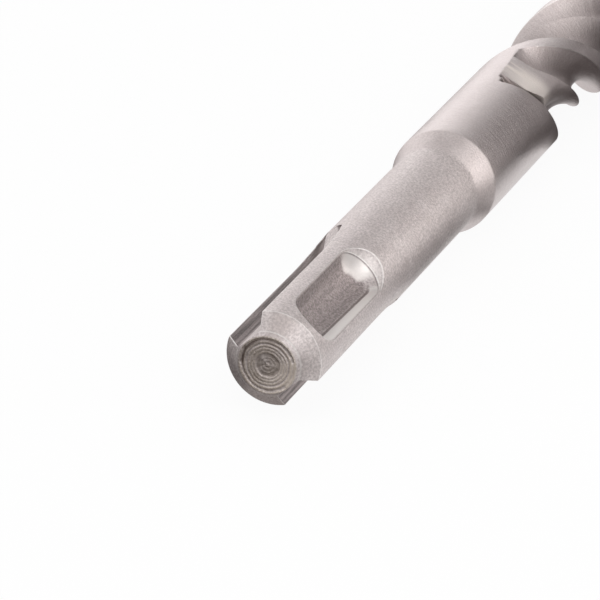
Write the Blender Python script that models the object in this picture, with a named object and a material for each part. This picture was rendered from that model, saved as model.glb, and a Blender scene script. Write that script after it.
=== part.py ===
"""Hammer drill bit: a round slotted shank, a conical shoulder and neck, two twisted flutes and a brazed tip plate.

The bit lies on its side with the tip along +X. The neck, the lands and one corner of the tip plate rest on Z = 0,
and the origin lies under the middle of its length. Shapes are drawn with X = 0 at the shank's end face and moved
there last. Lengths are in metres, angles in degrees. Angles round the bit run in the YZ plane from +Y towards +Z.
"""

import math

import bmesh
import bpy
import numpy as np
from mathutils import Matrix, Vector

# Turned blank
OVERALL_LENGTH = 0.1600
SHANK_DIAMETER = 0.0100
SHANK_LENGTH = 0.0516
END_FACE_DIAMETER = 0.0061
END_CHAMFER_LENGTH = 0.0019
SHOULDER_LENGTH = 0.0036
BODY_DIAMETER = 0.01184

# Two open drive slots, milled in from the end face
SLOT_FLOOR_RADIUS = 0.0031
SLOT_FLOOR_WIDTH = 0.0030
SLOT_FLANK_ANGLE = 31.0
SLOT_STRAIGHT_LENGTH = 0.0195
SLOT_MILL_RADIUS = 0.0220
SLOT_ANGLE = 48.6

# Two closed ball pockets, a few degrees off square to the slots as on the object
POCKET_BALL_RADIUS = 0.0035
POCKET_AXIS_RADIUS = 0.00614
POCKET_FIRST_BALL = 0.0067
POCKET_LAST_BALL = 0.0192
POCKET_LIP_RADIUS = 0.0040
POCKET_LIP_SLOPE = 50.0
POCKET_ANGLE = 133.9

# Two twisted flutes. Section angles start at a groove's far edge and grow against the lead, towards the shank.
FLUTE_LEAD = 0.0435
FLUTE_START = 0.07285
CORE_RADIUS = 0.00295
RIB_RADIUS = 0.0050
NARROW_FLOOR_ANGLE = 37.0
RIB_ANGLE = 63.0
WIDE_FLOOR_ANGLE = 117.5
WALL_FOOT_ANGLE = 121.0
NEAR_EDGE_ANGLE = 154.0
WALL_POWER = 3.0
RIB_FLANK_POWER = 2.2
FACET_POWER = 2.2

# How the flutes start on the neck: angles round the bit where each edge begins, its section angle there, and the
# turn over which it settles to the full section
NEAR_START = 94.0
FLAT_START = 90.0
FAR_START = 85.5
NEAR_EDGE_RUNOUT = (105.0, 100.0, 1.8)
WALL_FOOT_RUNOUT = (94.0, 60.0, 1.5)
WIDE_FLOOR_RUNOUT = (78.0, 45.0, 1.3)
RIB_RUNOUT = (24.0, 55.0, 1.6)
NARROW_FLOOR_RUNOUT = (11.0, 60.0, 1.5)
PLUNGE_TURN = 72.0
PLUNGE_POWER = 3.0
FLAT_ANGLE = 117.5
FLAT_RADIUS = 0.00510
FLAT_REACH = 40.0
FLAT_BLEND_START = 128.0
FLAT_BLEND_TURN = 60.0
RIB_BLEND_START = 115.0
RIB_BLEND_TURN = 40.0

# Tip: the body's blunt cone, and the hard plate brazed in its slot
TIP_CONE_ANGLE = 67.0
TIP_FLAT_RADIUS = 0.0012
PLATE_OVERHANG = 0.00058
PLATE_THICKNESS = 0.0028
PLATE_HEIGHT = 0.0100
PLATE_SECTION_ANGLE = 165.5
PLATE_POINT_ANGLE = 65.0
PLATE_RELIEF_ANGLE = 25.0
PLATE_SIDE_RELIEF_ANGLE = 12.8
PLATE_CORNER = 0.0006
PLATE_STAND_OUT = 0.0020
BRAZE_GAP = 0.00025

# Fineness of the facets
COLUMNS = (5, 1, 5, 5, 5)
LAND_COLUMNS = 4
PITCH_OF_FLUTE_RINGS = 0.0017
PITCH_OF_RUNOUT_RINGS = 0.00055
PITCH_OF_TIP_RINGS = 0.0008
RUNOUT_LENGTH = 0.0135
TURN_STEP = 0.5
CONE_RINGS = 5
POCKET_SIDES = 28
POCKET_LEVELS = 6
MILL_STEPS = 7
CUTTER_MARGIN = 0.001

SHANK_RADIUS = SHANK_DIAMETER / 2
BODY_RADIUS = BODY_DIAMETER / 2
END_FACE_RADIUS = END_FACE_DIAMETER / 2
AXIS_HEIGHT = BODY_RADIUS
NECK_START = SHANK_LENGTH + SHOULDER_LENGTH
BODY_END = OVERALL_LENGTH - PLATE_STAND_OUT
PLATE_FOOT = OVERALL_LENGTH - PLATE_HEIGHT
PLATE_WIDTH = BODY_DIAMETER + 2 * PLATE_OVERHANG
TURN_PER_METRE = 360.0 / FLUTE_LEAD
PLATE_MIDDLE = PLATE_FOOT + PLATE_HEIGHT / 2
# How far each end of the plate falls back behind its cutting edge
PLATE_SIDE_RELIEF = PLATE_THICKNESS * math.tan(math.radians(PLATE_SIDE_RELIEF_ANGLE))


def twist(x):
    """Angle round the bit of section angle nought at x, counted on from the flute's start."""
    return NEAR_START - NEAR_EDGE_RUNOUT[0] + TURN_PER_METRE * (x - FLUTE_START)


def place_of(turned):
    """Place along the bit where section angle nought has turned to the given angle."""
    return FLUTE_START + (turned - NEAR_START + NEAR_EDGE_RUNOUT[0]) / TURN_PER_METRE


def plate_angle():
    """Angle round the bit of the plate, which stands on the lands where they pass the middle of its height."""
    return twist(PLATE_MIDDLE) + PLATE_SECTION_ANGLE


def resting_angle():
    """Angle round the bit of the plate's lower end once the bit has rolled until that end meets the floor."""
    half = PLATE_WIDTH / 2
    thick = PLATE_THICKNESS / 2
    leans = []
    for across, aside in ((half, -thick), (half - PLATE_SIDE_RELIEF, thick)):
        reach = math.hypot(across, aside)
        leans.append(math.atan2(aside, across) + math.acos(min(BODY_RADIUS / reach, 1.0)))
    return 270.0 + math.degrees(max(leans))


def settle(turned, start, full, length, power):
    """A value that leaves its start at once and settles on its full value after the given turn."""
    left = np.clip(1.0 - np.maximum(turned, 0.0) / length, 0.0, 1.0)
    return full + (start - full) * left**power


def ease(share):
    """A smooth step from nought to one."""
    share = np.clip(share, 0.0, 1.0)
    return share * share * (3.0 - 2.0 * share)


def flat_face(angle):
    """Radius of the flat that the tool first cuts: a plane square to one direction, blended out to the blank."""
    turned = np.radians(np.clip(angle - FLAT_ANGLE, -FLAT_REACH, FLAT_REACH))
    return np.minimum(FLAT_RADIUS / np.cos(turned), BODY_RADIUS)


def section_edges(angle):
    """Section angles and radii of the six edges of a flute where it passes an angle round the bit.

    From the near edge over the wall's foot, the wide groove's floor, the rib and the narrow groove's floor to the
    far edge. Each edge has its own start and settles along its own curve.
    """
    near = angle - NEAR_START
    middle = angle - FLAT_START
    far = angle - FAR_START
    start, length, power = NEAR_EDGE_RUNOUT
    near_edge = settle(near, start, NEAR_EDGE_ANGLE, length, power)
    start, length, power = WALL_FOOT_RUNOUT
    wall_foot = settle(near, start, WALL_FOOT_ANGLE, length, power)
    start, length, power = WIDE_FLOOR_RUNOUT
    wide_floor = settle(middle, start, WIDE_FLOOR_ANGLE, length, power)
    start, length, power = RIB_RUNOUT
    rib = settle(far, start, RIB_ANGLE, length, power)
    start, length, power = NARROW_FLOOR_RUNOUT
    narrow_floor = settle(far, start, NARROW_FLOOR_ANGLE, length, power)
    sink = ease((angle - FLAT_BLEND_START) / FLAT_BLEND_TURN)
    wide_radius = flat_face(angle) * (1.0 - sink) + CORE_RADIUS * sink
    blend = ease((angle - RIB_BLEND_START) / RIB_BLEND_TURN)
    rib_radius = flat_face(angle) * (1.0 - blend) + RIB_RADIUS * blend
    foot_radius = np.minimum(settle(near, BODY_RADIUS, CORE_RADIUS, PLUNGE_TURN, PLUNGE_POWER), wide_radius)
    narrow_radius = settle(far, BODY_RADIUS, CORE_RADIUS, PLUNGE_TURN, PLUNGE_POWER)
    blank = np.full_like(near_edge, BODY_RADIUS)
    wide_radius = np.where(middle <= 0.0, BODY_RADIUS, wide_radius)
    rib_radius = np.where(far <= 0.0, BODY_RADIUS, rib_radius)
    angles = (near_edge, wall_foot, wide_floor, rib, narrow_floor, np.zeros_like(near_edge))
    radii = (blank, foot_radius, wide_radius, rib_radius, narrow_radius, blank)
    return angles, radii


def column(part, share, angle):
    """Section angle and radius of a point that lies a share of the way along one part of the section."""
    angles, radii = section_edges(angle)
    if part == len(COLUMNS):
        return angles[part], radii[part]
    sink = ease((angle - FLAT_BLEND_START) / FLAT_BLEND_TURN)
    rises = (
        1.0 - (1.0 - share) ** WALL_POWER,
        share,
        share ** (1.0 + (FACET_POWER - 1.0) * sink),
        1.0 - (1.0 - share) ** RIB_FLANK_POWER,
        share**WALL_POWER,
    )
    section = angles[part] + (angles[part + 1] - angles[part]) * share
    radius = radii[part] + (radii[part + 1] - radii[part]) * rises[part]
    return section, radius


def column_start(part, share):
    """Angle round the bit at which a column leaves the blank; the flutes' starts lie on one slanting line."""
    starts = (NEAR_START, NEAR_START, FLAT_START, FAR_START, FAR_START, FAR_START, FAR_START)
    return starts[part] + (starts[part + 1] - starts[part]) * share


def column_tracks():
    """For every column from the near edge to the far edge: start angle, and tables of place, angle and radius."""
    tracks = []
    last = twist(BODY_END) + NEAR_EDGE_ANGLE + 2 * TURN_STEP
    shares = [(part, step / count) for part, count in enumerate(COLUMNS) for step in range(count)]
    for part, share in shares + [(len(COLUMNS), 0.0)]:
        begin = column_start(part, share)
        angle = np.arange(begin, last, TURN_STEP)
        section, radius = column(part, share, angle)
        place = np.maximum.accumulate(place_of(angle - section))
        tracks.append((begin, place, angle, radius))
    return tracks


def blank_radius(x):
    """Radius of the turned blank: end chamfer, shank, conical shoulder, body and blunt tip cone."""
    places = (0.0, END_CHAMFER_LENGTH, SHANK_LENGTH, NECK_START, BODY_END)
    radii = (END_FACE_RADIUS, SHANK_RADIUS, SHANK_RADIUS, BODY_RADIUS, BODY_RADIUS)
    cone = TIP_FLAT_RADIUS + (BODY_END - x) * math.tan(math.radians(TIP_CONE_ANGLE))
    return min(float(np.interp(x, places, radii)), cone)


def ring_places():
    """Where the body's rings stand: the turned edges, then the run-out, the flutes and the tip cone."""
    cone_foot = BODY_END - (BODY_RADIUS - TIP_FLAT_RADIUS) / math.tan(math.radians(TIP_CONE_ANGLE))
    runout_last = FLUTE_START + RUNOUT_LENGTH
    runout_count = math.ceil(RUNOUT_LENGTH / PITCH_OF_RUNOUT_RINGS)
    tip_first = PLATE_FOOT - PITCH_OF_FLUTE_RINGS
    flute_count = math.ceil((tip_first - runout_last) / PITCH_OF_FLUTE_RINGS)
    tip_count = math.ceil((cone_foot - tip_first) / PITCH_OF_TIP_RINGS)
    turned = [0.0, END_CHAMFER_LENGTH, SHANK_LENGTH, NECK_START]
    runout = list(np.linspace(FLUTE_START, runout_last, runout_count, endpoint=False))
    flutes = list(np.linspace(runout_last, tip_first, flute_count, endpoint=False))
    tip = list(np.linspace(tip_first, cone_foot, tip_count, endpoint=False))
    cone = list(np.linspace(cone_foot, BODY_END, CONE_RINGS))
    return turned + runout + flutes + tip + cone


def body_ring(x, tracks):
    """One ring of the body: columns that have started follow the flute, the others share what is left evenly."""
    count = len(tracks) - 1 + LAND_COLUMNS
    angles = []
    radii = []
    for begin, place, angle, radius in tracks:
        if x <= place[0]:
            angles.append(begin)
            radii.append(BODY_RADIUS)
            break
        angles.append(float(np.interp(x, place, angle)))
        radii.append(float(np.interp(x, place, radius)))
    placed = len(angles) - 1
    span = angles[-1] - (angles[0] - 180.0)
    for index in range(placed + 1, count):
        angles.append(angles[placed] - span * (index - placed) / (count - placed))
        radii.append(BODY_RADIUS)
    limit = blank_radius(x)
    points = []
    for half_turn in (0.0, 180.0):
        for angle, radius in zip(angles, radii):
            reach = min(radius, limit)
            turned = math.radians(angle - half_turn)
            across = reach * math.cos(turned)
            height = AXIS_HEIGHT + reach * math.sin(turned)
            points.append(Vector((x - OVERALL_LENGTH / 2, across, height)))
    return points


def skin(rings):
    """A closed skin over rings of equal count, with flat caps at both ends."""
    mesh = bmesh.new()
    loops = [[mesh.verts.new(point) for point in ring] for ring in rings]
    for first, second in zip(loops, loops[1:]):
        count = len(first)
        for index in range(count):
            following = (index + 1) % count
            mesh.faces.new((first[index], first[following], second[following], second[index]))
    mesh.faces.new(reversed(loops[0]))
    mesh.faces.new(loops[-1])
    bmesh.ops.recalc_face_normals(mesh, faces=mesh.faces)
    return mesh


def material(name, colour, roughness, metallic):
    """A Principled material with one colour."""
    made = bpy.data.materials.new(name)
    made.use_nodes = True
    shader = made.node_tree.nodes["Principled BSDF"]
    shader.inputs["Base Color"].default_value = (*colour, 1.0)
    shader.inputs["Roughness"].default_value = roughness
    shader.inputs["Metallic"].default_value = metallic
    return made


def place(name, mesh, finish=None):
    """Turns a bmesh into an object of the scene."""
    data = bpy.data.meshes.new(name)
    mesh.to_mesh(data)
    mesh.free()
    made = bpy.data.objects.new(name, data)
    bpy.context.collection.objects.link(made)
    if finish:
        data.materials.append(finish)
    return made


def cut(target, cutter):
    """Takes the cutter's shape out of the target and keeps the cutter as a wire guide."""
    cutter.hide_render = True
    cutter.display_type = "WIRE"
    step = target.modifiers.new("cut_" + cutter.name, "BOOLEAN")
    step.operation = "DIFFERENCE"
    step.solver = "EXACT"
    step.object = cutter


def turned_about_bit(angle):
    """Moves a shape built with +Z as its outward direction round the bit's axis to the given angle."""
    onto_axis = Matrix.Translation((-OVERALL_LENGTH / 2, 0.0, AXIS_HEIGHT))
    return onto_axis @ Matrix.Rotation(math.radians(angle - 90.0), 4, "X")


def slot_cutter(name, angle):
    """The slot as the mill leaves it: a keystone section run straight, then lifted out along the mill's arc."""
    reach = SHANK_RADIUS + 2 * CUTTER_MARGIN
    centre = SLOT_FLOOR_RADIUS + SLOT_MILL_RADIUS
    top = centre - reach
    half_floor = SLOT_FLOOR_WIDTH / 2
    half_top = half_floor + (reach - SLOT_FLOOR_RADIUS) * math.tan(math.radians(SLOT_FLANK_ANGLE))
    last = math.acos(top / SLOT_MILL_RADIUS)
    rings = []
    for step in range(-1, MILL_STEPS + 1):
        swing = 0.0 if step < 0 else last * step / MILL_STEPS
        start = -CUTTER_MARGIN if step < 0 else SLOT_STRAIGHT_LENGTH
        ring = []
        for side, distance in (
            (-half_floor, SLOT_MILL_RADIUS), (half_floor, SLOT_MILL_RADIUS), (half_top, top), (-half_top, top),
        ):
            ring.append(Vector((start + distance * math.sin(swing), side, centre - distance * math.cos(swing))))
        rings.append(ring)
    cutter = place(name, skin(rings))
    cutter.data.transform(turned_about_bit(angle))
    return cutter


def pocket_cutter(name, angle):
    """The pocket: a ball run along a short track, with both ends opened to a bevelled lip."""
    mesh = bmesh.new()
    outline = []
    steps = POCKET_SIDES // 2
    for step in range(steps + 1):
        swing = math.pi * step / steps
        outline.append((POCKET_LAST_BALL, swing))
    for step in range(steps + 1):
        swing = math.pi + math.pi * step / steps
        outline.append((POCKET_FIRST_BALL, swing))
    lip_height = POCKET_AXIS_RADIUS - POCKET_LIP_RADIUS
    lip_swing = math.acos(lip_height / POCKET_BALL_RADIUS)
    lip_radius = POCKET_BALL_RADIUS * math.sin(lip_swing)
    levels = []
    for step in range(1, POCKET_LEVELS + 1):
        swing = lip_swing * step / POCKET_LEVELS
        levels.append((POCKET_BALL_RADIUS * math.sin(swing),
                       POCKET_AXIS_RADIUS - POCKET_BALL_RADIUS * math.cos(swing)))
    top = SHANK_RADIUS + CUTTER_MARGIN
    flare = (top - POCKET_LIP_RADIUS) / math.tan(math.radians(POCKET_LIP_SLOPE))
    levels.append((lip_radius + flare, top))
    loops = []
    for radius, height in levels:
        loop = []
        for centre, swing in outline:
            loop.append(mesh.verts.new((centre + radius * math.sin(swing), radius * math.cos(swing), height)))
        loops.append(loop)
    for lower, upper in zip(loops, loops[1:]):
        count = len(lower)
        for index in range(count):
            following = (index + 1) % count
            mesh.faces.new((lower[index], lower[following], upper[following], upper[index]))
    mesh.faces.new(loops[0])
    mesh.faces.new(loops[-1])
    bmesh.ops.recalc_face_normals(mesh, faces=mesh.faces)
    cutter = place(name, mesh)
    cutter.data.transform(turned_about_bit(angle))
    return cutter


def plate():
    """The hard plate: a flat body with a roof point and broken corners.

    Its point and both its ends are relieved behind the cutting edges, which lead as the bit turns.
    """
    half = PLATE_WIDTH / 2
    thick = PLATE_THICKNESS / 2
    corner = OVERALL_LENGTH - half / math.tan(math.radians(PLATE_POINT_ANGLE))
    relief = PLATE_THICKNESS * math.tan(math.radians(PLATE_RELIEF_ANGLE))
    rings = []
    behind = (corner - relief, half - PLATE_SIDE_RELIEF)
    for height, (right, wide), (left, broad) in ((-thick, behind, (corner, half)), (thick, (corner, half), behind)):
        outline = (
            (PLATE_FOOT, -broad + PLATE_CORNER), (PLATE_FOOT, wide - PLATE_CORNER),
            (PLATE_FOOT + PLATE_CORNER, wide), (right - PLATE_CORNER, wide),
            (right, wide - PLATE_CORNER), (OVERALL_LENGTH, 0.0), (left, -broad + PLATE_CORNER),
            (left - PLATE_CORNER, -broad), (PLATE_FOOT + PLATE_CORNER, -broad),
        )
        rings.append([Vector((along, across, height)) for along, across in outline])
    made = place("carbide_plate", skin(rings), material("hard_metal", (0.23, 0.23, 0.24), 0.45, 0.9))
    # Built with its width along Y, so it turns from +Y to the plate's angle.
    made.data.transform(turned_about_bit(plate_angle() + 90.0))
    return made


def seat_cutter():
    """The slot across the tip that the plate is brazed in, one gap wider than the plate all round."""
    thick = PLATE_THICKNESS / 2 + BRAZE_GAP
    wide = PLATE_WIDTH / 2 + BRAZE_GAP + CUTTER_MARGIN
    rings = []
    for x in (PLATE_FOOT - BRAZE_GAP, OVERALL_LENGTH + CUTTER_MARGIN):
        rings.append([Vector((x, -wide, -thick)), Vector((x, wide, -thick)),
                      Vector((x, wide, thick)), Vector((x, -wide, thick))])
    cutter = place("seat_cutter", skin(rings))
    cutter.data.transform(turned_about_bit(plate_angle() + 90.0))
    return cutter


def steel_body():
    """The one-piece steel body, cut by its slots, pockets and plate seat."""
    tracks = column_tracks()
    rings = [body_ring(x, tracks) for x in ring_places()]
    body = place("steel_body", skin(rings), material("blasted_steel", (0.56, 0.53, 0.52), 0.42, 1.0))
    for number, half_turn in enumerate((0.0, 180.0), start=1):
        cut(body, slot_cutter(f"slot_cutter_{number}", SLOT_ANGLE + half_turn))
        cut(body, pocket_cutter(f"pocket_cutter_{number}", POCKET_ANGLE + half_turn))
    cut(body, seat_cutter())
    body.data.shade_smooth()
    body.data.set_sharp_from_angle(angle=math.radians(30.0))
    return body


def main():
    """Empties the scene, builds the two pieces and rolls them about the axis until a plate corner rests."""
    for old in list(bpy.data.objects):
        bpy.data.objects.remove(old)
    steel_body()
    plate()
    roll = (resting_angle() - plate_angle() + 90.0) % 180.0 - 90.0
    onto_axis = Matrix.Translation((0.0, 0.0, AXIS_HEIGHT))
    rolling = onto_axis @ Matrix.Rotation(math.radians(roll), 4, "X") @ onto_axis.inverted()
    for piece in bpy.data.objects:
        piece.data.transform(rolling)


main()
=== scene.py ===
"""Looks of the hammer drill bit: blasted steel with slots, pockets and flutes made by milling.

It lies on a pale table in soft light. Lengths of the bit are in millimetres and angles in degrees.
The camera, the lamp, the table and the cards are placed in metres. Angles round the bit run in the
YZ plane from +Y towards +Z, and x runs from the shank's end face to the tip. A fade is a pair:
where it begins, and how long it is.
"""

import math

import bmesh
import bpy
import numpy as np
from mathutils import Matrix, Vector


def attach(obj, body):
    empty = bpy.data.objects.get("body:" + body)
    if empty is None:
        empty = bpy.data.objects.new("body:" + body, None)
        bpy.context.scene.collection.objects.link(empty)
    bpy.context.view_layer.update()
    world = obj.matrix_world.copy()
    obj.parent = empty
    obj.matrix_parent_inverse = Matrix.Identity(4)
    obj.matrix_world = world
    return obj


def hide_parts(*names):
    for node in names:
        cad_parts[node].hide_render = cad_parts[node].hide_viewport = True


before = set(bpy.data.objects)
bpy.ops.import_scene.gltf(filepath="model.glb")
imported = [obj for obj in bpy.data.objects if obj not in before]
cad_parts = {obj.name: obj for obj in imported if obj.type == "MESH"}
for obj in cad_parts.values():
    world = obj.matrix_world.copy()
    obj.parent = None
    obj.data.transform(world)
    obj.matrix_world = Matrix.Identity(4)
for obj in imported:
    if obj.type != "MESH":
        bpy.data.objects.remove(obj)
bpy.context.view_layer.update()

MM = 0.001
TINY = 1e-6
MERGE_DISTANCE = 0.0015

# Turned blank
LENGTH = 160.0
SHANK_RADIUS = 5.0
BODY_RADIUS = 5.92
FACE_RADIUS = 2.98
SHOULDER_START = 51.2
CONE_START = 52.1
CONE_END = 55.0
NECK_START = 55.4
MID_NECK = 60.0
BLANK_END = 155.9
BODY_END = 158.0
BLANK_PROFILE = (
    (0.0, 2.98), (0.05, 3.05), (0.12, 3.13), (0.2, 3.22), (0.28, 3.31), (0.33, 3.35), (0.38, 3.35),
    (0.42, 3.43), (0.47, 3.51), (0.7, 3.76), (1.00, 4.07), (1.40, 4.48), (1.78, 4.87),
    (1.86, 4.945), (1.94, 4.985), (2.05, 5.0), (SHOULDER_START, SHANK_RADIUS), (51.45, 5.006),
    (51.65, 5.03), (51.85, 5.07), (CONE_START, 5.13), (CONE_END, 5.868), (55.12, 5.895),
    (55.25, 5.913), (NECK_START, BODY_RADIUS), (BLANK_END, BODY_RADIUS),
)

# Turned end face: depth by radius, and what makes it uneven
FACE_PROFILE = (
    (0.0, 0.05), (0.12, 0.06), (0.22, 0.15), (0.34, 0.16), (0.42, 0.12), (0.52, 0.12), (0.6, 0.16),
    (0.74, 0.16), (0.82, 0.13), (0.92, 0.17), (1.1, 0.18), (1.22, 0.16), (1.32, 0.04), (1.44, 0.03),
    (1.54, 0.07), (1.62, 0.03), (1.78, 0.03), (1.88, 0.08), (1.96, 0.03), (2.1, 0.03), (2.2, 0.1),
    (2.28, 0.1), (2.36, 0.03), (2.5, 0.02), (2.6, 0.12), (2.72, 0.13), (2.82, 0.02), (3.0, 0.0),
)
RING_WOBBLE = 0.07
RING_RIPPLE = 0.025
UNEVEN_DEPTH = 0.45
DEEPER_SIDE = 0.6
OUTER_GROOVE = (2.2, 0.4)
RIM_CHIPS = 0.16
CHIPPED_RIM = (2.45, 0.45)

# Drive slots
SLOT_ANGLE = 48.6
SLOT_FLOOR = 3.1
SLOT_HALF_WIDTH = 1.5
SLOT_FLARE = math.tan(math.radians(31.0))
SLOT_STRAIGHT = 19.5
SLOT_END = 28.7
MILL_RADIUS = 22.0
EDGE_ROUNDING = 0.12
CORNER_FILLET = 0.2
SLOT_LEAST_ANGLE = 6.0
EDGE_GUESS_RADIANS = 0.48
CREVICE_DEPTH = 0.2
CREVICE_WIDTH = 0.5
CREVICE_SHARES = (0.8, 1.0, 0.4)
CREVICE_START = (21.0, 3.0)
CREVICE_END = (27.9, 0.6)
SPREAD_OUT = (29.0, 9.0)

# Ball pockets
POCKET_ANGLE = 133.9
WINDOW_HALF_ANGLE = 42.0
WINDOW_START = 2.2
WINDOW_END = 24.2
BALL_RADIUS = 3.5
BALL_AXIS = 6.14
FIRST_BALL = 6.7
LAST_BALL = 19.2
LIP_HEIGHT = 4.0
LIP_REACH = math.sqrt(BALL_RADIUS**2 - (BALL_AXIS - LIP_HEIGHT) ** 2)
LIP_SLOPE = math.tan(math.radians(50.0))
LIP_ROUNDING = 0.1
STRIP_REACH = (1.82, 2.1)
STRIP_GROOVE = 0.07
BOWL_SHARES = (0.0, 0.15, 0.3, 0.44, 0.55)
STRIP_FOOT_STEPS = (-0.10, -0.055, -0.01, 0.02)
STRIP_SHARES = (0.45, 0.8)
BOWL_POLISH_AND_SHEEN = (0.0, 0.0, 0.0, 0.75, 1.0)
BORDER_SHARES = (0.12, 0.3, 0.52, 0.76, 1.0)

# Flutes. A run-out gives an edge's start, the turn it takes to settle, and the power.
LEAD = 43.5
FLUTE_START = 72.85
CORE_RADIUS = 2.95
RIB_RADIUS = 5.0
NARROW_FLOOR_ANGLE = 37.0
RIB_ANGLE = 63.0
WIDE_FLOOR_ANGLE = 117.5
WALL_FOOT_ANGLE = 121.0
NEAR_EDGE_ANGLE = 154.0
WALL_POWER = 3.0
RIB_FLANK_POWER = 2.2
FACET_POWER = 2.2
NEAR_START = 94.0
FLAT_START = 90.0
FAR_START = 85.5
NEAR_EDGE_RUNOUT = (105.0, 100.0, 1.8)
WALL_FOOT_RUNOUT = (91.5, 60.0, 1.5)
WIDE_FLOOR_RUNOUT = (78.0, 45.0, 1.3)
RIB_RUNOUT = (24.0, 55.0, 1.6)
NARROW_FLOOR_RUNOUT = (11.0, 60.0, 1.5)
PLUNGE = (BODY_RADIUS, 72.0, 3.0)
FLAT_ANGLE = 117.5
FLAT_RADIUS = 5.1
FLAT_REACH = 40.0
FLAT_BLEND = (128.0, 60.0)
RIB_BLEND = (115.0, 40.0)
TURN_STEP = 0.25
END_SPACING = 1.3
START_RAMP = 0.22
START_LENGTH = 1.4
FOOT_GROOVE = 0.45
FOOT_GROOVE_TURN = 45.0

# Tip
CONE_TAN = math.tan(math.radians(67.0))
TIP_FLAT_RADIUS = 1.2
PLATE_WIDTH = 13.0
PLATE_THICKNESS = 2.8
PLATE_FOOT = 150.0
PLATE_SECTION_ANGLE = 165.5
PLATE_POINT_ANGLE = 65.0
PLATE_RELIEF_ANGLE = 25.0
PLATE_SIDE_RELIEF_ANGLE = 12.8
PLATE_SIDE_RELIEF = PLATE_THICKNESS * math.tan(math.radians(PLATE_SIDE_RELIEF_ANGLE))
PLATE_CORNER = 0.6
PLATE_BROKEN_EDGE = 0.08
PLATE_EDGE_ANGLE = 8.0
BRAZE_GAP = 0.25
SEAT_OVERRUN = 3.0
SHARP_ANGLE = 52.0

# Columns round half a turn, and rows
LAND_ONE = 8
SLOT_FLOOR_COLUMNS = 18
SLOT_FLANK_COLUMNS = 8
SLOT_LAST = LAND_ONE + SLOT_FLOOR_COLUMNS + 2 * SLOT_FLANK_COLUMNS
LAND_TWO = 12
WINDOW_COLUMNS = 60
WINDOW_FIRST = SLOT_LAST + LAND_TWO
HALF = WINDOW_FIRST + WINDOW_COLUMNS
FLUTE_COLUMNS = (26, 3, 28, 20, 25)
WALL_COLUMNS = FLUTE_COLUMNS[0]
FACE_ROWS = 58

# Marks for the finishes and for painted shade and light: places along the bit, the depths at which
# they are full, and fades
SLOT_EDGE_END = 28.0
SHANK_MARKS_END = 40.0
FLUTE_MARKS_START = 70.0
LAND_EDGE_START = 86.0
MILLED_DEPTH = 0.08
FLUTED_DEPTH = 0.06
CUT_DEPTH = 0.05
NEAR_WALL_FADE = (78.0, 10.0)
FACET_LIGHT_FADE = (78.5, 3.0)
DARK_CORNER_START = (22.0, 2.0)
DARK_CORNER_END = (28.2, 0.3)
FACE_SUNK = (0.05, 0.16)

# Bright turned edges, partly wear and partly painted glints: place, reach to both sides, and
# brightness
TURNED_EDGES = ((0.0, 0.01, 0.5), (0.4, 0.03, 0.5), (1.94, 0.05, 0.8))

# Uneven turned end, by angle round the bit: a painted dark reflection band on the cone, a painted
# sheen on the face, and the side where the face is cut deeper
CONE_SHADE_BAND_ANGLE = 104.0
FACE_SHEEN_ANGLE = 215.0
FACE_DEEP_ANGLE = 15.0

# Where the finish changes along the bit, from place to place
FACE_SPAN = (0.02, 0.1)
RINGS_SPAN = (0.3, 0.4)
CONE_SPAN = (1.8, 2.0)
SHOULDER_SPAN = (51.5, 52.0)
NECK_SPAN = (55.2, 55.6)

# Colours
BLASTED = ((0.7, 0.635, 0.625), (0.78, 0.72, 0.71))
BLASTED_PITS = (0.38, 0.335, 0.33)
NECK_TONE = (0.6, 0.53, 0.52)
NECK_STREAK = (0.84, 0.79, 0.78)
# Painted dark reflection band on the cone
CONE_SHADE_BAND = (0.4, 0.34, 0.32)
# Floor and flank tones of rough milled steel, made darker by painted shade
ROUGH_FLOOR_AND_SHADE = ((0.35, 0.29, 0.285), (0.1, 0.08, 0.078))
LINED_FLANK_AND_SHADE = ((0.4, 0.34, 0.335), (0.09, 0.072, 0.07))
# Painted light on the flutes' facet, in a warmer tone
FACET_LIGHT_TONE = (0.96, 0.89, 0.84)
RINGED_FACE = ((0.51, 0.44, 0.385), (0.31, 0.26, 0.215))
FACE_SHEEN = (0.9, 0.8, 0.71)
# Painted shade in hollows: the flutes' near wall and floors, the slots' run-out corners, the groove
# at the pocket strip's foot and the end face's sunk rings
HOLLOW_SHADE_TONE = (0.2, 0.165, 0.155)
# A smoother finish with painted sheen, on the pocket's lit far end, its strip and its lip
POLISH_AND_SHEEN_TONE = (0.74, 0.7, 0.68)
# Bright edges: partly wear and burrs, partly painted glints
EDGE_WEAR_AND_GLINT_TONE = (0.96, 0.94, 0.92)
PLATE_TONES = ((0.24, 0.24, 0.25), (0.34, 0.34, 0.35))

# Cards that only reflections see, in metres. Walls: two bearings from +X towards +Y, two heights,
# the distance from the bit's middle, and the brightness.
WALLS = (
    ("dark_wall", -42.0, -2.0, 0.0, 0.42, 0.6, (0.15, 0.135, 0.135)),
    ("dark_top", -22.0, 36.0, 0.45, 1.40, 0.6, (0.15, 0.14, 0.14)),
    ("bright_wall", 9.0, 75.0, 0.0, 0.36, 0.6, (1.55, 1.53, 1.53)),
    ("low_left_wall", 76.0, 130.0, 0.0, 0.14, 0.6, (0.35, 0.33, 0.33)),
    ("low_right_wall", -140.0, -44.0, 0.0, 0.12, 0.66, (0.45, 0.43, 0.43)),
    ("high_right", -90.0, -52.0, 0.46, 1.1, 0.6, (1.45, 1.42, 1.4)),
)
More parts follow.
